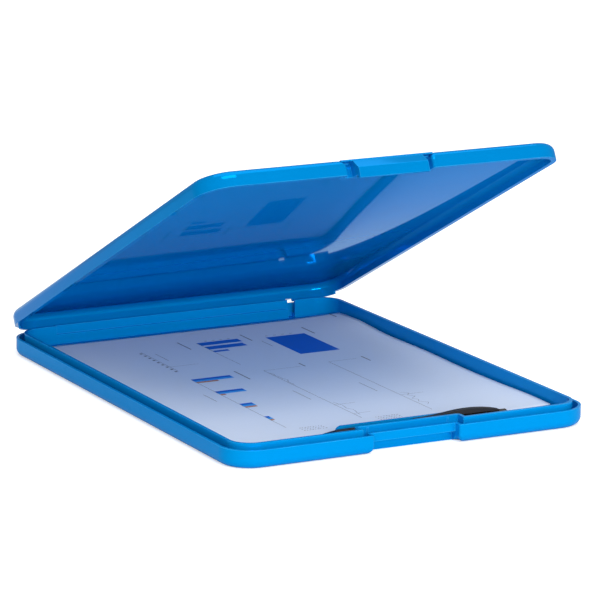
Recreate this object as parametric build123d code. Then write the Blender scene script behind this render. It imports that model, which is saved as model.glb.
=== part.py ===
from build123d import *
import os

# Storage clipboard: a moulded tray and a hinged lid with a low spring clip, letter paper and a click pen.
# Millimetres.  X runs across the case, +Y towards the hinge, +Z up.  The origin is the centre of the
# tray's underside.  The lid is drawn closed and then turned to its rest angle.

# ---- case ----
CASE_W = 241.3            # across, 9.5 in
CASE_L = 336.0            # front edge to back wall
CORNER_R = 20.0
HALF_W = CASE_W / 2
HALF_L = CASE_L / 2
PARTING_Z = 11.5          # top of the tray's outer wall
RIM_Z = 14.5              # top of the tray's inner rim
CLOSED_Z = 22.0           # top of the closed lid
FLOOR_T = 2.5
WALL_T = 1.8
RIM_INSET = 5.2           # outline to the outer face of the inner rim
RIM_T = 2.0
RIM_CORNER_R = 1.0        # standing corners of the rim round the recess
GROOVE_Z = 5.0            # bottom of the groove between outer wall and rim
EDGE_R = 5.0              # rounding of the lid's top edges
INSIDE = RIM_INSET + RIM_T
UNDER_R = 4.8             # rounding of the tray's bottom edges
OVER = 1.0                # how far a cutter runs past the face it cuts
JOIN = 0.5                # how far a joined piece sinks into its neighbour

# ---- front recess, shared by tray and lid ----
RECESS_HALF = 28.5
RECESS_DEPTH = 5.8
RECESS_RIM_BACK = 1.4     # the inner rim stands this much further back here than elsewhere
RECESS_LIP_Z = 6.3        # underside of the recess's upper lip
RECESS_SHELF_Z = 7.8      # the groove's bottom is raised to this above the undercut
RECESS_UNDERCUT = 4.6
RECESS_R_OUT = 1.6        # rounding of the recess's standing corners, at the outline
RECESS_R_IN = 0.6
NOTCH_REACH = 30.0        # length of the cutter that makes the recess
DETENT_R = 0.6
DETENT_X = 27.0
DETENT_Z0 = 7.5
DETENT_Z1 = 13.5

# ---- back wall and hinge ----
LEDGE_Z = 8.9             # low ledge in front of the thinned rim at the back
LEDGE_R = 0.5
STRIKE_X0 = -88.0         # the thinned rim beside the hinge runs between these
STRIKE_X1 = 81.5
SLOT_X1 = 86.5            # and an open slot parts it from the full rim at one end
STRIKE_INSET = 3.7
STRIKE_T = 1.8
PIVOT_Y = HALF_L + 3.4
PIVOT_Z = 10.5
REST_ANGLE = 26.0
PIN_R = 1.25
PIN_FIT = 0.05
KNUCKLE_R = 3.0
KNUCKLE_X = 65.0
EAR_HALF = 5.0
LUG_W = 6.0
KNUCKLE_GAP = 0.3
PIN_CHAMFER = 0.3
WEB_LOW_Z = 3.6           # the lug's web meets the back wall between these heights
WEB_HIGH_Z = 11.2

# ---- pen keeper ----
KEEPER_INSET = 26.3
KEEPER_T = 2.0
KEEPER_HALF = 40.7
KEEPER_Z = 12.1
KEEPER_END_R = 4.0

# ---- lid ----
PLATE_T = 2.5
SEAM_GAP = 0.3
SKIRT_T = 3.4
INNER_R = 4.0
BROW_INSET = 1.7          # thin front edge of the lid's top above the recess
BROW_T = 1.2
CURTAIN_INSET = 2.1       # lip along the lid's back edge that hangs into the tray's groove
CURTAIN_DROP = 1.6
CURTAIN_Y = 157.0         # it runs round the back corners as far forward as this
TAB_HALF = 23.2
TAB_REACH = 4.0           # how far the pull tab stands out from the front
TAB_FRONT_TOP = 15.3
TAB_BOTTOM = 9.0
TAB_SHOULDER = 2.6        # from the front back to where the tab's top starts to slope
TAB_WALL = 2.0
TAB_SINK = 1.5            # how far the tab runs into the lid behind the recess
TAB_LIP = 2.6             # its open underside is this much higher inside than at the nose
TAB_NOSE_R = 1.4
TAB_TOP_Z = 21.9
EAR_CLEAR = 0.3           # hinge ear to the tray's back wall
EAR_SLOPE_DROP = 0.8      # the ear's outer face slopes from the lid's edge to the barrel
EAR_SLOPE_OUT = 1.6
EAR_HEEL = 3.2

# ---- paper ----
PAPER_W = 215.9
PAPER_L = 279.4
PAPER_X = 3.4
PAPER_Y = 6.3
STACK_T = 2.7
SHEET_T = 0.3

# ---- pen, lying along X behind the front rim ----
PEN_Y = -HALF_L + 21.0
PEN_Z = FLOOR_T + 4.7
PEN_TIP = -60.0
PEN_NOSE_END = -44.0
PEN_GRIP_END = -8.0
PEN_END = 72.0
PEN_RING_START = 70.0
PEN_BUTTON_END = 79.5
PEN_R = 4.5
PEN_GRIP_R = 4.6
PEN_CORE_R = 3.9
PEN_BORE_R = 3.0
PEN_CLIP_TOP = 7.5        # above the pen's axis
PEN_CLIP_ROOT = 66.5
PEN_CLIP_FREE = 9.0
PEN_CLIP_W = 3.6
BUTTON_R = 2.9
BUTTON_FIT = 0.08
PEN_RIB_PITCH = 4.4
PEN_RIB_GAP = 1.2
PEN_RIB_DEEP = 0.3
PEN_RIBS = 6
NOSE_BORE_R = 0.9
REFILL_END = 60.0
REFILL_R = 1.5
REFILL_SHOULDER = -27.0   # the spring bears on the refill's shoulder here

# ---- clip, on top of the closed lid near the hinge ----
CLIP_Y = 128.0            # pivot rod
ROD_R = 1.5
ROD_RISE = 5.0            # rod's axis above the lid's top
ROD_FIT = 0.05
ROD_HALF = 38.5
BASE_HALF = 50.0
BASE_Y0 = 100.0
BASE_Y1 = 140.0
SHEET_METAL = 1.2
EAR_X = 36.0
LEVER_EAR_X = 33.5
JAW_HALF = 75.0
JAW_Y = 92.0
TAIL_HALF = 26.0
TAIL_Y = 150.0
LEVER_UNDER = 3.6         # underside of the lever above the rod's axis
JAW_FLOAT = 0.15
JAW_RISE = 0.2            # underside of the jaw above the base plate
JAW_SIDE = 13.0           # length of the jaw's straight ends
LEVER_SPACE = 20.0        # height of the space the lever's outline is cut in
RIVET_X = 44.0
RIVET_YS = (108.0, 133.0)
RIVET_R = 1.5
RIVET_DEEP = 1.8
RIVET_HEAD_R = 3.0
RIVET_HEAD_T = 1.0
RIVET_HEAD_ROUND = 0.6
BASE_CORNER_R = 4.0
EYE_R = 2.9               # round eyes of the base's ears and the lever's ears
EAR_FOOT = 8.0            # half the length of a base ear at the plate
EAR_HEAD = 2.6
EAR_TOP = 1.2             # top of a base ear's sloping part above the rod's axis
LEVER_EAR_FRONT = 10.0    # lever ears: how far they reach before and behind the rod
LEVER_EAR_BACK = 6.0
LEVER_EAR_HEAD = 2.8
LEVER_CORNER_R = 3.0
TAIL_RISE = 3.0
JAW_FOOT = 5.0            # flat length of the jaw
JAW_STEP = 3.2            # height of the jaw's second bend below the lever's back
GRIP_X = (42.0, 71.0)
GRIP_Y = (92.5, 96.7)
SPRING_R = 2.6
SPRING_WIRE = 1.0
SPRING_TURNS = 6
SPRING_GAP = 0.25


def notch_corner(x, y, r):
    """Square cell with the quarter disc of a standing corner taken out, for rounding that corner."""
    cell = Pos(x + r / 2, y + r / 2) * Rectangle(r, r)
    return cell - Pos(x + r, y + r) * Circle(r)


def outline(inset, recess_depth=RECESS_DEPTH, recess_r=None):
    """Plan of the case set in by `inset`, with the front recess and its rounded corners."""
    plan = RectangleRounded(CASE_W - 2 * inset, CASE_L - 2 * inset, CORNER_R - inset)
    half = RECESS_HALF + inset
    floor_y = -HALF_L + recess_depth + inset
    front_y = -HALF_L + inset
    inner_r = RECESS_R_IN + inset if recess_r is None else recess_r
    notch = Pos(0, floor_y - NOTCH_REACH / 2) * RectangleRounded(2 * half, NOTCH_REACH, inner_r)
    plan -= notch
    outer_r = max(RECESS_R_OUT - inset, 0)
    if outer_r > 0:
        plan -= notch_corner(half, front_y, outer_r)
        plan -= mirror(notch_corner(half, front_y, outer_r), Plane.YZ)
    return plan


def slab(plan, z0, z1):
    return extrude(Pos(0, 0, z0) * plan, z1 - z0)


def box(x0, x1, y0, y1, z0, z1):
    size = (x1 - x0, y1 - y0, z1 - z0)
    return Pos((x0 + x1) / 2, (y0 + y1) / 2, (z0 + z1) / 2) * Box(*size)


def rod(x0, x1, y, z, r):
    """Round bar along X."""
    return Pos((x0 + x1) / 2, y, z) * Rot(0, 90, 0) * Cylinder(r, abs(x1 - x0))


def profile(points, x0, x1):
    """Prism along X of a side view given as (y, z) points."""
    face = make_face(Polyline(*points, close=True))
    return extrude(Plane.YZ.offset(x0) * face, x1 - x0)


def edges_at(solid, z, tol=0.01):
    """Edges that lie wholly at height z."""
    return solid.edges().filter_by(lambda e: abs(e.bounding_box().min.Z - z) < tol
                                   and abs(e.bounding_box().max.Z - z) < tol)


def open_lid(solid, angle=REST_ANGLE):
    """Turn a closed-lid piece about the hinge axis."""
    return solid.rotate(Axis((0, PIVOT_Y, PIVOT_Z), (1, 0, 0)), -angle)


# ---------------------------------------------------------------- tray
def rim_plan(inset, corner_r):
    return outline(inset, RECESS_DEPTH + RECESS_RIM_BACK, corner_r)


def tray_shell():
    shell = slab(outline(0), 0, PARTING_Z)
    shell = fillet(edges_at(shell, 0), UNDER_R)
    shell -= slab(outline(WALL_T), GROOVE_Z, PARTING_Z + OVER)
    shell += slab(rim_plan(RIM_INSET, RIM_CORNER_R), GROOVE_Z - OVER, RIM_Z)
    shell -= slab(rim_plan(INSIDE, RIM_CORNER_R + RIM_T), FLOOR_T, RIM_Z + OVER)
    return shell


def recess_undercut(tray):
    """The recess's lower part is set further back, under a raised stretch of the groove."""
    y0 = -HALF_L + RECESS_DEPTH
    rim_y = y0 + RECESS_RIM_BACK + RIM_INSET
    tray += box(-RECESS_HALF, RECESS_HALF, y0 + JOIN, rim_y + JOIN, GROOVE_Z - OVER, RECESS_SHELF_Z)
    return tray - box(-RECESS_HALF, RECESS_HALF, y0 - OVER, y0 + RECESS_UNDERCUT, -OVER, RECESS_LIP_Z)


def detents():
    y = -HALF_L + RECESS_DEPTH + RECESS_RIM_BACK + RIM_INSET
    middle = (DETENT_Z0 + DETENT_Z1) / 2
    return [Pos(s * DETENT_X, y, middle) * Cylinder(DETENT_R, DETENT_Z1 - DETENT_Z0) for s in (-1, 1)]


def pen_keeper():
    y0 = -HALF_L + KEEPER_INSET
    wall = box(-KEEPER_HALF, KEEPER_HALF, y0, y0 + KEEPER_T, FLOOR_T - JOIN, KEEPER_Z)
    return fillet(wall.edges().filter_by(Axis.Y).sort_by(Axis.Z)[-2:], KEEPER_END_R)


def back_wall(shell):
    """Beside the hinge the rim is thinned and set back, on a low ledge, with an open slot at one end."""
    inner = HALF_L - INSIDE
    front = HALF_L - STRIKE_INSET - STRIKE_T
    groove_y = HALF_L - WALL_T
    shell -= box(STRIKE_X0, SLOT_X1, inner - OVER, groove_y, GROOVE_Z, RIM_Z + OVER)
    shell += box(STRIKE_X0, STRIKE_X1, front, HALF_L - STRIKE_INSET, GROOVE_Z - OVER, RIM_Z)
    ledge = box(STRIKE_X0, STRIKE_X1, inner, front + JOIN, FLOOR_T, LEDGE_Z)
    shell += fillet(ledge.edges().filter_by(Axis.X).group_by(Axis.Z)[-1].sort_by(Axis.Y)[0], LEDGE_R)
    return shell - box(STRIKE_X1, SLOT_X1, inner - OVER, groove_y, FLOOR_T, RIM_Z + OVER)


def lug(x0, x1):
    """Hinge lug on the outside of the back wall."""
    web = profile([(HALF_L - JOIN, WEB_LOW_Z), (PIVOT_Y, PIVOT_Z - KNUCKLE_R), (PIVOT_Y, PIVOT_Z),
                   (HALF_L - JOIN, WEB_HIGH_Z)], x0, x1)
    return web + rod(x0, x1, PIVOT_Y, PIVOT_Z, KNUCKLE_R)


def make_tray():
    tray = tray_shell()
    tray = recess_undercut(tray)
    tray = back_wall(tray)
    tray += pen_keeper()
    tray += detents()
    for s in (-1, 1):
        centre = s * KNUCKLE_X
        for side in (-1, 1):
            near = centre + side * (EAR_HALF + KNUCKLE_GAP)
            far = near + side * LUG_W
            tray += lug(min(near, far), max(near, far))
        reach = EAR_HALF + KNUCKLE_GAP + LUG_W + OVER
        tray -= rod(centre - reach, centre + reach, PIVOT_Y, PIVOT_Z, PIN_R)
    return tray


def make_hinge_pin(side):
    half = EAR_HALF + KNUCKLE_GAP + LUG_W
    pin = rod(side * KNUCKLE_X - half, side * KNUCKLE_X + half, PIVOT_Y, PIVOT_Z, PIN_R)
    return chamfer(pin.edges().filter_by(GeomType.CIRCLE), PIN_CHAMFER)


# ---------------------------------------------------------------- lid, drawn closed
def lid_shell():
    land = PARTING_Z + SEAM_GAP
    under = CLOSED_Z - PLATE_T
    shell = slab(outline(0), land, CLOSED_Z)
    shell = fillet(edges_at(shell, CLOSED_Z), EDGE_R)
    hollow = slab(outline(SKIRT_T), land - OVER, under)
    hollow = fillet(edges_at(hollow, under), INNER_R)
    return shell - hollow


def back_curtain():
    """Lip that closes the gap behind the hinge when the lid stands open, notched at one end."""
    low = PARTING_Z - CURTAIN_DROP
    high = PARTING_Z + SEAM_GAP + JOIN
    lip = slab(outline(CURTAIN_INSET) - outline(SKIRT_T), low, high)
    lip &= box(-HALF_W, HALF_W, CURTAIN_Y, HALF_L, low, high)
    return lip - box(STRIKE_X1, SLOT_X1, CURTAIN_Y, HALF_L, low - OVER, PARTING_Z + SEAM_GAP)


def recess_brow():
    """Thin top of the lid that runs straight on across the front recess."""
    front = -HALF_L + BROW_INSET
    back = -HALF_L + RECESS_DEPTH + JOIN
    half = RECESS_HALF + RECESS_R_OUT + JOIN
    brow = box(-half, half, front, back, CLOSED_Z - BROW_T, CLOSED_Z)
    return fillet(brow.edges().filter_by(Axis.X).group_by(Axis.Z)[-1].sort_by(Axis.Y)[0], BROW_T - 0.2)


def pull_tab():
    """Hollow scoop-topped tab in the front recess."""
    front = -HALF_L - TAB_REACH
    back = -HALF_L + RECESS_DEPTH + TAB_SINK
    shoulder = -HALF_L + TAB_SHOULDER
    lip = TAB_BOTTOM + TAB_LIP
    skin = [(back, lip), (back, TAB_TOP_Z), (shoulder, TAB_TOP_Z), (front, TAB_FRONT_TOP),
            (front, TAB_BOTTOM), (front + TAB_WALL, TAB_BOTTOM), (front + TAB_WALL + OVER, lip)]
    tab = profile(skin, -TAB_HALF, TAB_HALF)
    front_edges = tab.edges().filter_by(Axis.X).filter_by_position(Axis.Y, front - JOIN, front + JOIN)
    tab = fillet(front_edges.sort_by(Axis.Z)[-1], TAB_NOSE_R)
    roof = TAB_TOP_Z - TAB_WALL
    hollow = [(back - TAB_WALL, TAB_BOTTOM), (back - TAB_WALL, roof), (shoulder + JOIN, roof),
              (front + TAB_WALL, TAB_FRONT_TOP - OVER), (front + TAB_WALL, TAB_BOTTOM)]
    return tab - profile(hollow, -TAB_HALF + TAB_WALL, TAB_HALF - TAB_WALL)


def lid_ear(x0, x1):
    """Arm from the lid's back skirt down to the hinge pin."""
    clear = HALF_L + EAR_CLEAR
    inside = HALF_L - OVER
    land = PARTING_Z + SEAM_GAP
    edge_z = CLOSED_Z - EDGE_R
    outer = PIVOT_Y + KNUCKLE_R
    arm = profile([(clear, PIVOT_Z), (clear, land), (inside, land), (inside, edge_z),
                   (HALF_L + EAR_SLOPE_OUT, edge_z - EAR_SLOPE_DROP), (outer, PIVOT_Z + EAR_HEEL),
                   (outer, PIVOT_Z)], x0, x1)
    barrel = rod(x0, x1, PIVOT_Y, PIVOT_Z, KNUCKLE_R)
    return arm + barrel - rod(x0 - OVER, x1 + OVER, PIVOT_Y, PIVOT_Z, PIN_R + PIN_FIT)


def make_lid():
    lid = lid_shell()
    lid += back_curtain()
    lid += recess_brow()
    lid += pull_tab()
    for s in (-1, 1):
        lid += lid_ear(s * KNUCKLE_X - EAR_HALF, s * KNUCKLE_X + EAR_HALF)
        for y in RIVET_YS:
            lid -= Pos(s * RIVET_X, y, CLOSED_Z - RIVET_DEEP / 2) * Cylinder(RIVET_R, RIVET_DEEP)
    return open_lid(lid)


# ---------------------------------------------------------------- clip, drawn on the closed lid
ROD_Z = CLOSED_Z + ROD_RISE
PLATE_Z = CLOSED_Z + SHEET_METAL


def make_clip_base():
    plate = box(-BASE_HALF, BASE_HALF, BASE_Y0, BASE_Y1, CLOSED_Z, PLATE_Z)
    plate = fillet(plate.edges().filter_by(Axis.Z), BASE_CORNER_R)
    for s in (-1, 1):
        x0, x1 = sorted((s * EAR_X, s * (EAR_X + SHEET_METAL)))
        ear = profile([(CLIP_Y - EAR_FOOT, PLATE_Z - JOIN), (CLIP_Y - EAR_HEAD, ROD_Z + EAR_TOP),
                       (CLIP_Y + EAR_HEAD, ROD_Z + EAR_TOP), (CLIP_Y + EAR_FOOT, PLATE_Z - JOIN)], x0, x1)
        plate += ear + rod(x0, x1, CLIP_Y, ROD_Z, EYE_R)
        for y in RIVET_YS:
            plate -= Pos(s * RIVET_X, y, CLOSED_Z) * Cylinder(RIVET_R, 4 * SHEET_METAL)
    plate -= rod(-BASE_HALF, BASE_HALF, CLIP_Y, ROD_Z, ROD_R)
    return open_lid(plate)


def make_clip_rivets():
    rivets = []
    low = CLOSED_Z - RIVET_DEEP
    for s in (-1, 1):
        for y in RIVET_YS:
            shank = Pos(s * RIVET_X, y, (low + PLATE_Z) / 2) * Cylinder(RIVET_R, PLATE_Z - low)
            head = Pos(s * RIVET_X, y, PLATE_Z + RIVET_HEAD_T / 2) * Cylinder(RIVET_HEAD_R, RIVET_HEAD_T)
            head = fillet(head.edges().sort_by(Axis.Z)[-1], RIVET_HEAD_ROUND)
            rivets.append(open_lid(shank + head))
    return Compound(children=rivets)


def make_clip_rod():
    bar = rod(-ROD_HALF, ROD_HALF, CLIP_Y, ROD_Z, ROD_R)
    return open_lid(chamfer(bar.edges().filter_by(GeomType.CIRCLE), PIN_CHAMFER))


def lever_side_view():
    """Side view of the pressed lever: jaw, arched back and thumb tail."""
    under = ROD_Z + LEVER_UNDER
    jaw_z = PLATE_Z + JAW_RISE
    return [(JAW_Y, jaw_z), (JAW_Y + JAW_FOOT, jaw_z), (JAW_Y + 2 * JAW_FOOT, under - JAW_STEP),
            (JAW_Y + 4 * JAW_FOOT, under), (CLIP_Y + EAR_FOOT, under), (TAIL_Y, under + TAIL_RISE)]


def thicken(points, t):
    """Closed outline of a bent strip of thickness t standing on the given line."""
    return points + [(y, z + t) for y, z in reversed(points)]


def lever_plan():
    """Lever seen from above: wide jaw narrowing to the thumb tail."""
    right = [(JAW_HALF, JAW_Y), (JAW_HALF, JAW_Y + JAW_SIDE), (LEVER_EAR_X + 3, CLIP_Y - LEVER_EAR_FRONT),
             (LEVER_EAR_X, CLIP_Y + LEVER_EAR_BACK + 1), (TAIL_HALF, TAIL_Y)]
    left = [(-x, y) for x, y in reversed(right)]
    plan = make_face(Polyline(*right, *left, close=True))
    return fillet(plan.vertices(), LEVER_CORNER_R)


def make_clip_lever():
    strip = profile(thicken(lever_side_view(), SHEET_METAL), -JAW_HALF, JAW_HALF)
    lever = strip & slab(lever_plan(), CLOSED_Z, CLOSED_Z + LEVER_SPACE)
    top = ROD_Z + LEVER_UNDER + 0.3
    for s in (-1, 1):
        x0, x1 = sorted((s * LEVER_EAR_X, s * (LEVER_EAR_X - SHEET_METAL)))
        lever += profile([(CLIP_Y - LEVER_EAR_FRONT, top), (CLIP_Y - LEVER_EAR_HEAD, ROD_Z - 1),
                          (CLIP_Y + LEVER_EAR_HEAD, ROD_Z - 1), (CLIP_Y + LEVER_EAR_BACK, top)], x0, x1)
        lever += rod(x0, x1, CLIP_Y, ROD_Z, EYE_R)
    lever -= rod(-EAR_X, EAR_X, CLIP_Y, ROD_Z, ROD_R + ROD_FIT)
    return open_lid(lever)


def make_jaw_grips():
    grips = []
    for s in (-1, 1):
        x0, x1 = sorted((s * GRIP_X[0], s * GRIP_X[1]))
        grips.append(open_lid(box(x0, x1, *GRIP_Y, CLOSED_Z + JAW_FLOAT, PLATE_Z + JAW_RISE)))
    return Compound(children=grips)


def coil(pitch, height, radius, wire_r):
    """Round-wire coil standing along Z."""
    path = Helix(pitch=pitch, height=height, radius=radius)
    return sweep(Plane(path @ 0, z_dir=path % 0) * Circle(wire_r), path)


def make_clip_spring():
    """Torsion coil round the rod, drawn as it sits with the lever pressed."""
    pitch = SPRING_WIRE + SPRING_GAP
    length = SPRING_TURNS * pitch
    wound = coil(pitch, length, SPRING_R, SPRING_WIRE / 2)
    return open_lid(Pos(-length / 2, CLIP_Y, ROD_Z) * Rot(0, 90, 0) * wound)


# ---------------------------------------------------------------- paper
def make_paper_stack():
    return Pos(PAPER_X, PAPER_Y, FLOOR_T + STACK_T / 2) * Box(PAPER_W, PAPER_L, STACK_T)


def make_printed_sheet():
    z = FLOOR_T + STACK_T + SHEET_T / 2
    return Pos(PAPER_X, PAPER_Y, z) * Box(PAPER_W, PAPER_L, SHEET_T)


# ---------------------------------------------------------------- pen
def turned(points):
    """Solid of revolution about the pen's axis from (x, radius) points."""
    face = make_face(Polyline(*points, close=True))
    return Pos(0, PEN_Y, PEN_Z) * revolve(face, Axis.X)


def make_pen_barrel():
    return turned([(PEN_NOSE_END, PEN_BORE_R), (PEN_NOSE_END, PEN_CORE_R), (PEN_GRIP_END, PEN_CORE_R),
                   (PEN_GRIP_END, PEN_R), (PEN_RING_START, PEN_R), (PEN_RING_START, PEN_BORE_R)])


def make_pen_grip():
    x0, x1 = PEN_NOSE_END, PEN_GRIP_END
    low = PEN_GRIP_R - PEN_RIB_DEEP
    grip = turned([(x0, PEN_CORE_R), (x0, low), (x0 + 3, PEN_GRIP_R), (x1, PEN_GRIP_R), (x1, PEN_CORE_R)])
    for k in range(PEN_RIBS):
        x = x0 + 8 + PEN_RIB_PITCH * k
        far = x + PEN_RIB_GAP
        grip -= turned([(x, low), (x, PEN_GRIP_R + OVER), (far, PEN_GRIP_R + OVER), (far, low)])
    return grip


def make_pen_nose():
    return turned([(PEN_TIP, NOSE_BORE_R), (PEN_TIP, 1.3), (PEN_TIP + 9, 3.3), (PEN_NOSE_END, 4.3),
                   (PEN_NOSE_END, 1.9), (PEN_TIP + 10, 1.9), (PEN_TIP + 3, NOSE_BORE_R)])


def make_pen_end_ring():
    bore = BUTTON_R + BUTTON_FIT
    return turned([(PEN_RING_START, bore), (PEN_RING_START, PEN_R), (PEN_END - 0.6, PEN_R),
                   (PEN_END, PEN_R - 0.6), (PEN_END, bore)])


def make_pen_clip():
    """Pocket clip: an arch from its root to a free end just above the barrel."""
    root, free = PEN_CLIP_ROOT, PEN_CLIP_FREE
    crown = (root + free) / 2
    low = PEN_R + 0.25
    foot = root - 6
    top_points = [(root, PEN_R + 0.5), (root - 8, PEN_CLIP_TOP - 0.8), (crown, PEN_CLIP_TOP),
                  (free + 13, PEN_CLIP_TOP - 1.6), (free, low + 0.6)]
    side = make_face([
        Line((root, PEN_R), top_points[0]),
        Spline(*top_points),
        Line(top_points[-1], (free, low)),
        Line((free, low), (foot, low)),
        Line((foot, low), (foot, PEN_R)),
        Line((foot, PEN_R), (root, PEN_R)),
    ])
    return Pos(0, PEN_Y, PEN_Z) * extrude(Plane.XZ * side, PEN_CLIP_W / 2, both=True)


def make_pen_button():
    thin = 2.3
    step = PEN_END - 6
    return turned([(REFILL_END, 0), (REFILL_END, thin), (step, thin), (step, BUTTON_R),
                   (PEN_BUTTON_END - 0.8, BUTTON_R), (PEN_BUTTON_END, BUTTON_R - 0.8), (PEN_BUTTON_END, 0)])


def make_pen_refill():
    """Metal point, brass tip, and tube with the collar that the spring pushes on."""
    tip = PEN_TIP + 0.5
    collar = REFILL_SHOULDER + 1.5
    return turned([(tip, 0), (tip, 0.35), (tip + 0.6, 0.6), (tip + 9.5, 0.6), (tip + 9.5, 1.15),
                   (tip + 13.5, 1.15), (tip + 13.5, REFILL_R), (REFILL_SHOULDER, REFILL_R),
                   (REFILL_SHOULDER, 2.4), (collar, 2.4), (collar, REFILL_R),
                   (REFILL_END, REFILL_R), (REFILL_END, 0)])


def make_pen_spring():
    """Return spring, drawn at the length it has with the button pressed."""
    wound = coil(1.6, 11.5, 2.3, 0.195)
    return Pos(PEN_NOSE_END + 0.4, PEN_Y, PEN_Z) * Rot(0, 90, 0) * wound


NODES = {
    "tray": make_tray,
    "hinge_pin_left": lambda: make_hinge_pin(-1),
    "hinge_pin_right": lambda: make_hinge_pin(1),
    "lid": make_lid,
    "clip_base": make_clip_base,
    "clip_rivets": make_clip_rivets,
    "clip_rod": make_clip_rod,
    "clip_lever": make_clip_lever,
    "jaw_grips": make_jaw_grips,
    "clip_spring": make_clip_spring,
    "paper_stack": make_paper_stack,
    "printed_sheet": make_printed_sheet,
    "pen_barrel": make_pen_barrel,
    "pen_grip": make_pen_grip,
    "pen_nose": make_pen_nose,
    "pen_end_ring": make_pen_end_ring,
    "pen_clip": make_pen_clip,
    "pen_button": make_pen_button,
    "pen_refill": make_pen_refill,
    "pen_spring": make_pen_spring,
}

os.makedirs("parts", exist_ok=True)
for name, make in NODES.items():
    export_step(make(), f"parts/{name}.step")
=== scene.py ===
import random
from math import cos, exp, hypot, radians, sin

import bpy
import bmesh
from mathutils import Matrix, Vector


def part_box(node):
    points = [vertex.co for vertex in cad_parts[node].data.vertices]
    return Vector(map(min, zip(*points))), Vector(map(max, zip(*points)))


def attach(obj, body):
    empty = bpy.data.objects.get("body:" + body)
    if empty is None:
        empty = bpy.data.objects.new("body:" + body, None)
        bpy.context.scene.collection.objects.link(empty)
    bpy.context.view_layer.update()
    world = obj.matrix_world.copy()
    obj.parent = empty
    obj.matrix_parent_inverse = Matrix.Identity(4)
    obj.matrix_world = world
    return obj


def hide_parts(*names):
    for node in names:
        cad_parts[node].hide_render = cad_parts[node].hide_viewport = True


# Storage clipboard: blue moulded case standing ajar, letter paper and a click pen inside, and a low steel
# clip on the lid.  Metres, in the CAD frame: X across, +Y towards the hinge, +Z up.

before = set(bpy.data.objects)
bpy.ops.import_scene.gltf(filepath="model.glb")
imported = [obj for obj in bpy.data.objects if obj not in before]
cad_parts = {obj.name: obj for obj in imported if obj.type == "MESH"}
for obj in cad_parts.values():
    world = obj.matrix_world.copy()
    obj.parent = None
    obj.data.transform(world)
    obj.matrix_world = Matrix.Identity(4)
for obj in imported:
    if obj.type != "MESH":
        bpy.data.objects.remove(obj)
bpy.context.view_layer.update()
RNG = random.Random(7)

MM = 0.001
LID_ANGLE = radians(26)
HINGE = Vector((0.0, 0.1714, 0.0105))

# ---------------------------------------------------------------- camera
CAMERA_AT = Vector((-1.0491, -2.0627, 0.5805))
CAMERA_AZIMUTH = radians(27.13)      # turned from +Y towards +X
CAMERA_DROP = radians(12.772)
CAMERA_ROLL = radians(0.181)
LENS_MM = 228.1
SENSOR_MM = 36
NEAR, FAR = 0.05, 60


def make_camera():
    forward = Vector((sin(CAMERA_AZIMUTH) * cos(CAMERA_DROP), cos(CAMERA_AZIMUTH) * cos(CAMERA_DROP),
                      -sin(CAMERA_DROP)))
    level = Vector((cos(CAMERA_AZIMUTH), -sin(CAMERA_AZIMUTH), 0))
    upright = level.cross(forward)
    right = level * cos(CAMERA_ROLL) + upright * sin(CAMERA_ROLL)
    up = right.cross(forward)
    data = bpy.data.cameras.new("camera")
    data.lens = LENS_MM
    data.sensor_width = SENSOR_MM
    data.clip_start, data.clip_end = NEAR, FAR
    camera = bpy.data.objects.new("camera", data)
    camera.matrix_world = Matrix.Translation(CAMERA_AT) @ Matrix((right, up, -forward)).transposed().to_4x4()
    bpy.context.scene.collection.objects.link(camera)
    bpy.context.scene.camera = camera


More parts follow.
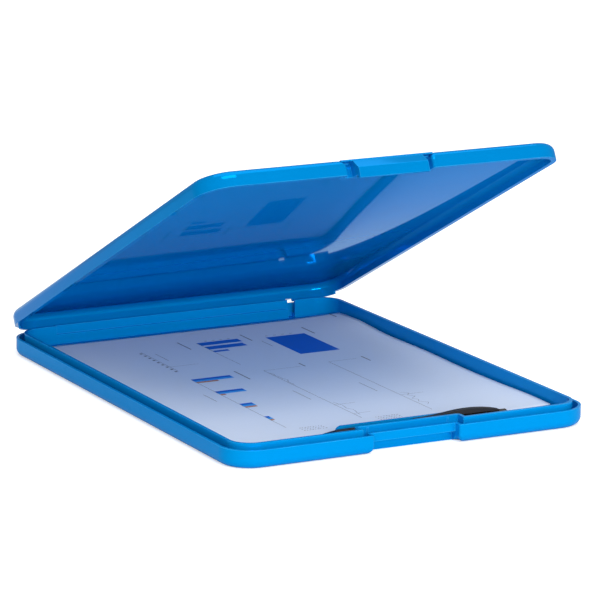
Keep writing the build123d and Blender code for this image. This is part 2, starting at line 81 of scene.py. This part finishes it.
# ---------------------------------------------------------------- node helpers
class Shader:
    """A material's node tree with one Principled shader, and short ways to add nodes to it."""

    def __init__(self, name):
        self.material = bpy.data.materials.new(name)
        self.material.use_nodes = True
        self.tree = self.material.node_tree
        self.shader = self.tree.nodes["Principled BSDF"]
        self.here = self.add("ShaderNodeTexCoord").outputs["Object"]

    def add(self, kind, **settings):
        node = self.tree.nodes.new(kind)
        for key, value in settings.items():
            setattr(node, key, value)
        return node

    def put(self, socket, value):
        """Link an output, or set a plain value."""
        if isinstance(value, bpy.types.NodeSocket):
            self.tree.links.new(value, socket)
        else:
            socket.default_value = value

    def set(self, **inputs):
        for key, value in inputs.items():
            self.put(self.shader.inputs[key.replace("_", " ")], value)

    def noise(self, scale, detail=4.0, rough=0.55, stretch=(1, 1, 1), seed=(0, 0, 0)):
        move = self.add("ShaderNodeMapping")
        self.put(move.inputs["Vector"], self.here)
        move.inputs["Scale"].default_value = stretch
        move.inputs["Location"].default_value = seed
        node = self.add("ShaderNodeTexNoise")
        self.put(node.inputs["Vector"], move.outputs[0])
        node.inputs["Scale"].default_value = scale
        node.inputs["Detail"].default_value = detail
        node.inputs["Roughness"].default_value = rough
        return node.outputs["Fac"]

    def ramp(self, value, low, high, out_low=0.0, out_high=1.0):
        node = self.add("ShaderNodeMapRange")
        for i, v in enumerate((value, low, high, out_low, out_high)):
            self.put(node.inputs[i], v)
        return node.outputs[0]

    def math(self, operation, a, b=0.0, clamp=False):
        node = self.add("ShaderNodeMath", operation=operation, use_clamp=clamp)
        self.put(node.inputs[0], a)
        self.put(node.inputs[1], b)
        return node.outputs[0]

    def mix(self, factor, a, b):
        node = self.add("ShaderNodeMix", data_type="RGBA")
        self.put(node.inputs[0], factor)
        self.put(node.inputs[6], a)
        self.put(node.inputs[7], b)
        return node.outputs[2]

    def bump(self, height, strength, distance, base=None):
        node = self.add("ShaderNodeBump")
        node.inputs["Strength"].default_value = strength
        node.inputs["Distance"].default_value = distance
        self.put(node.inputs["Height"], height)
        if base is not None:
            self.put(node.inputs["Normal"], base)
        return node.outputs[0]

    def edges(self, radius, gain):
        """About 1 along sharp outside edges and corners, 0 on open faces."""
        bevel = self.add("ShaderNodeBevel", samples=4)
        bevel.inputs["Radius"].default_value = radius
        geometry = self.add("ShaderNodeNewGeometry")
        dot = self.add("ShaderNodeVectorMath", operation="DOT_PRODUCT")
        self.put(dot.inputs[0], bevel.outputs[0])
        self.put(dot.inputs[1], geometry.outputs["Normal"])
        return self.math("MULTIPLY", self.math("SUBTRACT", 1.0, dot.outputs["Value"]), gain, clamp=True)


# ---------------------------------------------------------------- materials
BLUE = (0.0, 0.27, 0.66, 1)
BLUE_DEEP = (0.0, 0.235, 0.6, 1)
# the lid's blues are the tray's plastic darkened: painted shade, so the lid reads darker than the tray
LID_BLUE_SHADED = (0.0, 0.235, 0.6, 1)
LID_BLUE_DEEP_SHADED = (0.0, 0.205, 0.54, 1)
# lighter blue along the case's sharp edges: painted highlight, patchy like rubbed wear
BLUE_EDGE_HIGHLIGHT_AND_WEAR = (0.05, 0.48, 0.88, 1)
BLUE_SHEEN = (0.0, 0.5, 1.0, 1)           # what the plastic mirrors is tinted by it
POLISHED = 0.03                             # roughness of the lid's mirror-like inside
TRAY_DULLER, OUTSIDE_DULLER = 0.07, 0.2     # added to it on the tray and on the lid's outside
LID_METALLIC, TRAY_METALLIC = 0.36, 0.2     # how strongly the plastic mirrors
EDGE_LIGHT_RADIUS, EDGE_LIGHT_GAIN = 0.0009, 2.6          # width and strength of the lighter edges: painted highlight, patchy like rubbed wear
LID_SKIN = (0.0198, 0.0212)                 # between the lid's under and upper face, closed
BOW_ACROSS, BOW_CENTRE_X = 0.142, 0.062     # the lid's panel crowns towards the tray: rise per metre
BOW_ALONG, BOW_CENTRE_Y = 0.39, -0.009      # squared, and where the crown's top is


def closed_place(s):
    """Sockets X, Y, Z of the place on the closed lid."""
    turn = s.add("ShaderNodeMapping", vector_type="POINT")
    s.put(turn.inputs["Vector"], s.here)
    turn.inputs["Rotation"].default_value = (LID_ANGLE, 0, 0)
    turn.inputs["Location"].default_value = HINGE - Matrix.Rotation(LID_ANGLE, 3, "X") @ HINGE
    split = s.add("ShaderNodeSeparateXYZ")
    s.put(split.inputs[0], turn.outputs[0])
    return split


def lid_bow(s, split):
    """Height of the lid panel's slight crown, from the place on the closed lid."""
    height = None
    for axis, rise, centre in (("X", BOW_ACROSS, BOW_CENTRE_X), ("Y", BOW_ALONG, BOW_CENTRE_Y)):
        away = s.math("SUBTRACT", split.outputs[axis], centre)
        term = s.math("MULTIPLY", s.math("MULTIPLY", away, away), -rise)
        height = term if height is None else s.math("ADD", height, term)
    return height


def case_plastic(name, lid=False):
    """Glossy moulded plastic: faint flow marks, fine scratches, and sharp edges lightened with painted
    highlight, patchy like rubbed wear.
    """
    s = Shader(name)
    cloud = s.noise(9.0, 3.0)
    fine = s.noise(900.0, 2.0)
    scratch = s.noise(60.0, 5.0, 0.7, stretch=(1, 14, 1))
    # The lid takes the darker blues: painted shade on the same plastic.
    tone = s.mix(cloud, LID_BLUE_DEEP_SHADED, LID_BLUE_SHADED) if lid else s.mix(cloud, BLUE_DEEP, BLUE)
    # Sharp edges turn lighter blue: painted highlight, made patchy like rubbed wear.
    lighter_edges = s.math("MULTIPLY", s.edges(EDGE_LIGHT_RADIUS, EDGE_LIGHT_GAIN),
                 s.ramp(s.noise(55.0), 0.4, 0.65, 0.35, 0.85), clamp=True)
    s.set(Base_Color=s.mix(lighter_edges, tone, BLUE_EDGE_HIGHLIGHT_AND_WEAR))
    rough = s.ramp(scratch, 0.35, 0.8, POLISHED, POLISHED + 0.05)
    broad = None
    if lid:
        place = closed_place(s)
        broad = s.bump(lid_bow(s, place), 1.0, 1.0)
        outside = s.ramp(place.outputs["Z"], *LID_SKIN)
        rough = s.math("ADD", rough, s.math("MULTIPLY", outside, OUTSIDE_DULLER))
    else:
        rough = s.math("ADD", rough, TRAY_DULLER)
    s.set(Roughness=rough, IOR=1.5, Specular_IOR_Level=0.05)
    s.set(Metallic=LID_METALLIC if lid else TRAY_METALLIC, Specular_Tint=BLUE_SHEEN)
    ripple = s.bump(s.noise(11.0, 1.0), 0.06, 0.0006, broad)
    s.set(Normal=s.bump(fine, 0.04, 0.00002, ripple))
    return s.material


def steel(name, colour, rough, brushed=(1, 1, 1)):
    s = Shader(name)
    grain = s.noise(450.0, 4.0, 0.6, stretch=brushed)
    stain = s.noise(38.0, 3.0)
    darker = tuple(c * 0.82 for c in colour[:3]) + (1,)
    s.set(Metallic=1.0, Base_Color=s.mix(s.ramp(stain, 0.35, 0.7), colour, darker))
    s.set(Roughness=s.ramp(grain, 0.3, 0.7, rough, rough + 0.12))
    s.set(Normal=s.bump(grain, 0.12, 0.00003))
    return s.material


BLACK_DEEP = (0.006, 0.006, 0.008, 1)
BLACK_SOFT = (0.016, 0.016, 0.019, 1)
BLACK_WORN = (0.07, 0.07, 0.075, 1)


def black_plastic(name, rough, grain_depth):
    s = Shader(name)
    tone = s.mix(s.noise(120.0), BLACK_DEEP, BLACK_SOFT)
    lighter_edges = s.math("MULTIPLY", s.edges(0.0004, 3.0), s.ramp(s.noise(300.0), 0.45, 0.65), clamp=True)
    s.set(Base_Color=s.mix(lighter_edges, tone, BLACK_WORN))
    s.set(Roughness=s.ramp(s.noise(200.0), 0.3, 0.7, rough, rough + 0.1))
    s.set(Normal=s.bump(s.noise(2600.0, 2.0), 0.3, grain_depth))
    return s.material


TUBE_PALE = (0.72, 0.72, 0.66, 1)
TUBE_GREY = (0.55, 0.57, 0.55, 1)


def refill_plastic(name):
    s = Shader(name)
    s.set(Base_Color=s.mix(s.noise(90.0), TUBE_PALE, TUBE_GREY))
    s.set(Roughness=s.ramp(s.noise(300.0), 0.3, 0.7, 0.25, 0.4))
    s.set(Normal=s.bump(s.noise(1500.0), 0.1, 0.00002))
    return s.material


def paper(name, colour):
    """Office paper: fibre mottling and a soft tooth."""
    s = Shader(name)
    mottle = s.noise(420.0, 5.0, 0.7)
    wide = s.noise(18.0, 3.0)
    shade = tuple(c * 0.94 for c in colour[:3]) + (1,)
    s.set(Base_Color=s.mix(s.math("MULTIPLY", mottle, wide), colour, shade))
    s.set(Roughness=s.ramp(mottle, 0.3, 0.7, 0.72, 0.86), Specular_IOR_Level=0.3)
    s.set(Normal=s.bump(mottle, 0.25, 0.00004))
    return s.material


def ink(name, colour):
    s = Shader(name)
    speckle = s.noise(1600.0, 3.0, 0.7)
    light = tuple(min(1.0, c * 1.25 + 0.015) for c in colour[:3]) + (1,)
    s.set(Base_Color=s.mix(s.ramp(speckle, 0.45, 0.75), colour, light))
    s.set(Roughness=s.ramp(speckle, 0.3, 0.7, 0.5, 0.62))
    s.set(Normal=s.bump(speckle, 0.15, 0.00003))
    return s.material


def dress(node, material):
    """Give a CAD node's object its finished material."""
    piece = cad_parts[node]
    piece.data.materials.clear()
    piece.data.materials.append(material)


# ---------------------------------------------------------------- paper
STACK_LOW, STACK_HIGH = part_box("paper_stack")
TOP_LOW, TOP_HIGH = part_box("printed_sheet")
SHEETS = 9
SHEET_FILL = 0.8              # share of its pitch in the stack that a sheet's thickness takes up
SHEET_SINK = 0.00005
PAGE_T = 0.00012
LIFT_START, LIFT_SPAN = 0.06, 0.05      # the page starts to lift this far from its middle
LIFT_RIGHT, LIFT_LEFT = 1.1, 0.3        # millimetres
PAGE_SHARE, STACK_SHARE = 0.9, 0.85     # share of the lift that the page and the sheets below take
OUT_X, OUT_Y = (-0.0012, 0.0009), (-0.0015, 0.0015)     # how far out of line a sheet may lie
OUT_TURN = (-0.0025, 0.0025)
CURLS = ((0.118, 0.03, 1.7), (-0.114, 0.035, 1.3), (0.02, 0.04, 0.5))   # right edge: centre, width, rise


def sheet_rise(x, y):
    """How far the top sheet lifts: a lazy wave, more along its right edge."""
    right = max(0.0, (x - LIFT_START) / LIFT_SPAN)
    left = max(0.0, (-x - LIFT_START) / LIFT_SPAN)
    wave = 0.3 + 0.12 * sin(61 * y - 0.6)
    for centre, width, rise in CURLS:
        wave += rise * exp(-((y - centre) / width) ** 2)
    return MM * (LIFT_RIGHT * right * right * wave + LIFT_LEFT * left * left * (0.5 + 0.5 * sin(27 * y)))


def top_surface(x, y):
    return TOP_HIGH.z + sheet_rise(x, y) * PAGE_SHARE


def grid_sheet(name, corner, size, lift, turn, steps=(36, 46), thickness=PAGE_T):
    """A thin sheet as a fine grid, following the lift given for each place."""
    mesh = bmesh.new()
    centre = Vector((corner[0] + size[0] / 2, corner[1] + size[1] / 2))
    rows = []
    for j in range(steps[1] + 1):
        row = []
        for i in range(steps[0] + 1):
            x = size[0] * (i / steps[0] - 0.5)
            y = size[1] * (j / steps[1] - 0.5)
            px = centre.x + x * cos(turn) - y * sin(turn)
            py = centre.y + x * sin(turn) + y * cos(turn)
            row.append(mesh.verts.new((px, py, lift(px, py))))
        rows.append(row)
    for j in range(steps[1]):
        for i in range(steps[0]):
            mesh.faces.new((rows[j][i], rows[j][i + 1], rows[j + 1][i + 1], rows[j + 1][i]))
    data = bpy.data.meshes.new(name)
    mesh.to_mesh(data)
    mesh.free()
    data.polygons.foreach_set("use_smooth", [True] * len(data.polygons))
    piece = bpy.data.objects.new(name, data)
    bpy.context.scene.collection.objects.link(piece)
    solid = piece.modifiers.new("thickness", "SOLIDIFY")
    solid.thickness = thickness
    solid.offset = -1
    return piece


def make_paper(material):
    """Loose sheets, squared up by hand: each is a little out of line with the next."""
    size = (STACK_HIGH.x - STACK_LOW.x, STACK_HIGH.y - STACK_LOW.y)
    rise = (TOP_LOW.z - STACK_LOW.z) / SHEETS
    for k in range(SHEETS):
        z = STACK_LOW.z + rise * (k + 1) - SHEET_SINK
        part = (k + 1) / (SHEETS + 1)
        corner = (STACK_LOW.x + RNG.uniform(*OUT_X), STACK_LOW.y + RNG.uniform(*OUT_Y))
        sheet = grid_sheet(f"sheet_{k + 1}", corner, size,
                           lambda x, y, z=z, part=part: z + sheet_rise(x, y) * part * STACK_SHARE,
                           RNG.uniform(*OUT_TURN), thickness=rise * SHEET_FILL)
        sheet.data.materials.append(material)
        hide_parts("paper_stack")
        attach(sheet, "tray")
    top = grid_sheet("printed_page", (TOP_LOW.x, TOP_LOW.y), size, top_surface, 0.0, steps=(60, 76))
    top.data.materials.append(material)
    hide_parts("printed_sheet")
    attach(top, "tray")


INK_LIFT = 0.00003
PRINT_CELL = 3.5       # millimetres


class Print:
    """Marks printed on the page, as ink laid a hair above it."""

    def __init__(self, name, material):
        self.name, self.material, self.mesh = name, material, bmesh.new()

    def block(self, x0, x1, y0, y1):
        """Filled rectangle, in millimetres, cut fine enough to follow the page."""
        nx = max(1, int(abs(x1 - x0) / PRINT_CELL))
        ny = max(1, int(abs(y1 - y0) / PRINT_CELL))
        rows = [[self.mesh.verts.new(self.on_page(x0 + (x1 - x0) * i / nx, y0 + (y1 - y0) * j / ny))
                 for i in range(nx + 1)] for j in range(ny + 1)]
        for j in range(ny):
            for i in range(nx):
                self.mesh.faces.new((rows[j][i], rows[j][i + 1], rows[j + 1][i + 1], rows[j + 1][i]))

    def on_page(self, x, y):
        x, y = x * MM, y * MM
        return x, y, top_surface(x, y) + INK_LIFT

    def rule(self, x0, y0, x1, y1, width):
        """Straight thin line along X or Y."""
        half = width / 2
        if abs(x1 - x0) > abs(y1 - y0):
            self.block(x0, x1, y0 - half, y0 + half)
        else:
            self.block(x0 - half, x0 + half, y0, y1)

    def stroke(self, points, width):
        """Thin broken line through (x, y) points, in millimetres."""
        for (x0, y0), (x1, y1) in zip(points, points[1:]):
            length = hypot(x1 - x0, y1 - y0)
            ox, oy = (y0 - y1) / length * width / 2, (x1 - x0) / length * width / 2
            corners = ((x0 + ox, y0 + oy), (x0 - ox, y0 - oy), (x1 - ox, y1 - oy), (x1 + ox, y1 + oy))
            self.mesh.faces.new([self.mesh.verts.new(self.on_page(x, y)) for x, y in corners])

    def done(self):
        data = bpy.data.meshes.new(self.name)
        self.mesh.to_mesh(data)
        self.mesh.free()
        data.materials.append(self.material)
        piece = bpy.data.objects.new(self.name, data)
        bpy.context.scene.collection.objects.link(piece)
        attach(piece, "tray")


# Millimetres from the middle of the tray.
BARS_X = -56.5             # the groups of bars and their axis start here
GROUP_Y, GROUP_PITCH = 22.5, 34.2
GROUPS = ((27, 15), (19, 3.5), (8.5, 8), (3, 2.5))      # reach of the long and of the short bars
LONG_BARS_X = -11
LONG_BARS = ((18.5, 103, 111), (16.5, 91.5, 99.5), (0, 83.5, 87.5))
AXIS_W, HEADING_W, SMALL_W, GRID_W, TRACE_W = 0.32, 0.9, 0.4, 0.3, 0.28
AXES = ((-56.5, 24, -108), (-11, 112, 46), (-5, 25, -107), (42.8, 28, -108), (-54, 104, 47))
HEADINGS = ((-21.5, 118, 97), (25, 120, 102), (-22.5, 32, 9), (71, 121, 102), (24, 33, 24),
            (68.4, 32, 19), (104, 144, 134))
SMALL_HEADINGS = ((-12, -29, -54), (34.5, -29, -53), (-47.5, 96, 76), (-66, -14, -33), (30, 98, 82))
GRID = ((-5, 25, 26), (42.8, 28, 20), (-5, -72, 14), (-5, -96, 12), (42.8, -68, 16), (-54, 60, 20))
TICKS, TICK_PITCH = 9, 6.6
LEGENDS = ((-50, -112), (3, -109))
LEGEND_ROWS, LEGEND_ROW = 3, 3.2
LEGEND_MARKS, LEGEND_MARK = 9, 1.8
TRACES = ((-4, -66, 3.6), (43.5, -62, 3.4), (-5, 18, 2.2))
TRACE_POINTS, TRACE_STEP = 9, 4.2


def print_bars(blue, pale, orange):
    """Three generic bar charts: a tall block, three long bars, and four groups of shrinking bars."""
    blue.block(36.5, 65, 54.6, 105.5)
    for x1, y0, y1 in LONG_BARS:
        blue.block(LONG_BARS_X, x1, y0, y1)
    for k, (reach, second) in enumerate(GROUPS):
        y = GROUP_Y - GROUP_PITCH * k
        blue.block(BARS_X, BARS_X + reach, y - 2.0, y + 1.8)
        pale.block(BARS_X, BARS_X + reach, y - 5.4, y - 2.0)
        orange.block(BARS_X, BARS_X + second, y - 8.6, y - 5.6)


def print_lines(grey):
    """Axes, headings as plain dashes, tick rows and legend strokes; nothing that reads as lettering."""
    for width, rules in ((AXIS_W, AXES), (HEADING_W, HEADINGS), (SMALL_W, SMALL_HEADINGS)):
        for x, y0, y1 in rules:
            grey.rule(x, y0, x, y1, width)
    for x, y, reach in GRID:
        grey.rule(x, y, x + reach, y, GRID_W)
    for k in range(TICKS):
        grey.block(BARS_X, -54.8, 99 - TICK_PITCH * k, 101.4 - TICK_PITCH * k)
    for x0, y0 in LEGENDS:
        for row in range(LEGEND_ROWS):
            for k in range(LEGEND_MARKS):
                x = x0 + LEGEND_MARK * k
                grey.block(x, x + RNG.uniform(0.5, 1.3), y0 - LEGEND_ROW * row - 0.8, y0 - LEGEND_ROW * row)
    for x0, y0, reach in TRACES:
        trace = [(x0 + RNG.uniform(0.2, 1.0) * reach * (1 + k % 2), y0 - TRACE_STEP * k)
                 for k in range(TRACE_POINTS)]
        grey.stroke(trace, TRACE_W)
    for k in range(4):
        grey.block(-4 + 5.5 * k, -2.2 + 5.5 * k, 113.5, 114.2)
        grey.block(38 + 6 * k, 40 + 6 * k, 109, 109.7)


def make_print():
    blue = Print("chart_blue", ink("ink_blue", (0.0, 0.12, 0.58, 1)))
    pale = Print("chart_pale", ink("ink_pale_blue", (0.04, 0.32, 0.78, 1)))
    orange = Print("chart_orange", ink("ink_orange", (0.5, 0.22, 0.12, 1)))
    grey = Print("chart_lines", ink("ink_grey", (0.13, 0.13, 0.15, 1)))
    print_bars(blue, pale, orange)
    print_lines(grey)
    for marks in (blue, pale, orange, grey):
        marks.done()


# ---------------------------------------------------------------- clip spring
SPRING_WIRE = 0.0005       # wire radius
SPRING_R = 0.0026
SPRING_TURNS = 6
SPRING_PITCH = 0.00125
TURN_STEPS = 24
ARM_LIFT = 0.0003          # the arm reaches a little up to the lever
ROD_AT = Vector((0, 0.128, 0.027))      # on the closed lid
LEG_REACH = 0.0105


def open_place(place):
    """From a place on the closed lid to the same place on the lid at rest."""
    return HINGE + Matrix.Rotation(-LID_ANGLE, 3, "X") @ (Vector(place) - HINGE)


def wire(name, places, material, body):
    """Round wire through places given on the closed lid."""
    curve = bpy.data.curves.new(name, "CURVE")
    curve.dimensions = "3D"
    curve.bevel_depth = SPRING_WIRE
    curve.bevel_resolution = 4
    curve.use_fill_caps = True
    line = curve.splines.new("POLY")
    line.points.add(len(places) - 1)
    for point, place in zip(line.points, places):
        point.co = (*open_place(place), 1)
    shape = bpy.data.objects.new(name + "_line", curve)
    bpy.context.scene.collection.objects.link(shape)
    mesh = bpy.data.meshes.new_from_object(shape.evaluated_get(bpy.context.evaluated_depsgraph_get()))
    bpy.data.objects.remove(shape)
    mesh.polygons.foreach_set("use_smooth", [True] * len(mesh.polygons))
    mesh.materials.clear()
    mesh.materials.append(material)
    piece = bpy.data.objects.new(name, mesh)
    bpy.context.scene.collection.objects.link(piece)
    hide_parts("clip_spring")
    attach(piece, body)


def round_rod(x, turn):
    """Place at a turn (radians) round the clip's rod; 0 is towards the hinge."""
    return x, ROD_AT.y + SPRING_R * cos(turn), ROD_AT.z + SPRING_R * sin(turn)


def make_clip_spring(material):
    """Torsion coil round the rod, one leg resting on the base plate and one under the lever."""
    start = -SPRING_TURNS * SPRING_PITCH / 2
    steps = SPRING_TURNS * TURN_STEPS
    coil = [round_rod(start + SPRING_PITCH * k / TURN_STEPS, radians(360 / TURN_STEPS * k))
            for k in range(steps + 1)]
    wire("spring_coil", coil, material, "lid")
    foot = round_rod(start, radians(-90))
    base_z = ROD_AT.z - SPRING_R
    wire("spring_foot", [round_rod(start, radians(0)), round_rod(start, radians(-45)), foot,
                         (start, ROD_AT.y - LEG_REACH, base_z)], material, "lid")
    top = round_rod(-start, radians(90))
    arm_z = ROD_AT.z + SPRING_R + ARM_LIFT
    wire("spring_arm", [round_rod(-start, radians(0)), round_rod(-start, radians(45)), top,
                        (-start, ROD_AT.y - LEG_REACH, arm_z)], material, "clip_lever")


# ---------------------------------------------------------------- stage
FLOOR_GLOW = 0.5       # keeps the floor white to the eye without lighting the case from below
FLOOR_SIZE = 30
FLOOR_WHITE = (0.85, 0.85, 0.85, 1)
WORLD_LIGHT = 0.5
SOFTBOXES = (          # name, place, what it is aimed at, size, watts
    ("key", (-0.1, -1.5, 2.3), (0, -0.05, 0), (1.8, 1.2), 24),
    ("top", (0.2, 0.3, 2.2), (0, 0, 0), (2.0, 2.0), 16),
    ("fill", (-0.45, -2.7, 0.75), (0, 0, 0.04), (2.6, 0.7), 60),
)


def make_stage():
    bpy.ops.mesh.primitive_plane_add(size=FLOOR_SIZE, location=(0, 0, 0))
    floor = bpy.context.object
    floor.name = "floor"
    s = Shader("floor_white")
    s.set(Base_Color=FLOOR_WHITE, Roughness=0.9, Specular_IOR_Level=0.1)
    seen = s.add("ShaderNodeLightPath").outputs["Is Camera Ray"]
    s.set(Emission_Color=(1, 1, 1, 1), Emission_Strength=s.math("MULTIPLY", seen, FLOOR_GLOW))
    floor.data.materials.append(s.material)
    world = bpy.data.worlds.new("studio")
    bpy.context.scene.world = world
    world.use_nodes = True
    world.node_tree.nodes["Background"].inputs[0].default_value = (1, 1, 1, 1)
    world.node_tree.nodes["Background"].inputs[1].default_value = WORLD_LIGHT


def softbox(name, place, target, size, watts):
    data = bpy.data.lights.new(name, "AREA")
    data.shape = "RECTANGLE"
    data.size, data.size_y = size
    data.energy = watts
    lamp = bpy.data.objects.new(name, data)
    lamp.location = place
    aim = Vector(target) - Vector(place)
    lamp.rotation_mode = "QUATERNION"
    lamp.rotation_quaternion = aim.to_track_quat("-Z", "Y")
    bpy.context.scene.collection.objects.link(lamp)


def make_lights():
    for settings in SOFTBOXES:
        softbox(*settings)


bpy.context.scene.view_settings.view_transform = "Standard"
make_camera()
make_stage()
make_lights()

dress("tray", case_plastic("case_blue_tray"))
dress("lid", case_plastic("case_blue_lid", lid=True))
bright = steel("bright_steel", (0.62, 0.63, 0.65, 1), 0.22)
for node in ("hinge_pin_left", "hinge_pin_right", "clip_rivets", "clip_rod", "pen_spring"):
    dress(node, bright)
make_clip_spring(steel("spring_wire", (0.5, 0.51, 0.53, 1), 0.25))
nickel = steel("nickel_plate", (0.74, 0.73, 0.7, 1), 0.12, brushed=(1, 6, 1))
dress("clip_base", nickel)
dress("clip_lever", nickel)
gloss_black = black_plastic("pen_gloss_black", 0.12, 0.00001)
soft_black = black_plastic("pen_soft_black", 0.55, 0.00004)
for node in ("pen_barrel", "pen_nose", "pen_end_ring", "pen_button"):
    dress(node, gloss_black)
for node in ("pen_grip", "pen_clip", "jaw_grips"):
    dress(node, soft_black)
dress("pen_refill", refill_plastic("refill_tube"))
# The paper's colour is white darkened and tinted blue: painted shade from the lid and painted blue light
# from the case.
shaded_blue_paper = paper("office_paper_shaded_blue", (0.68, 0.75, 0.87, 1))
make_paper(shaded_blue_paper)
make_print()
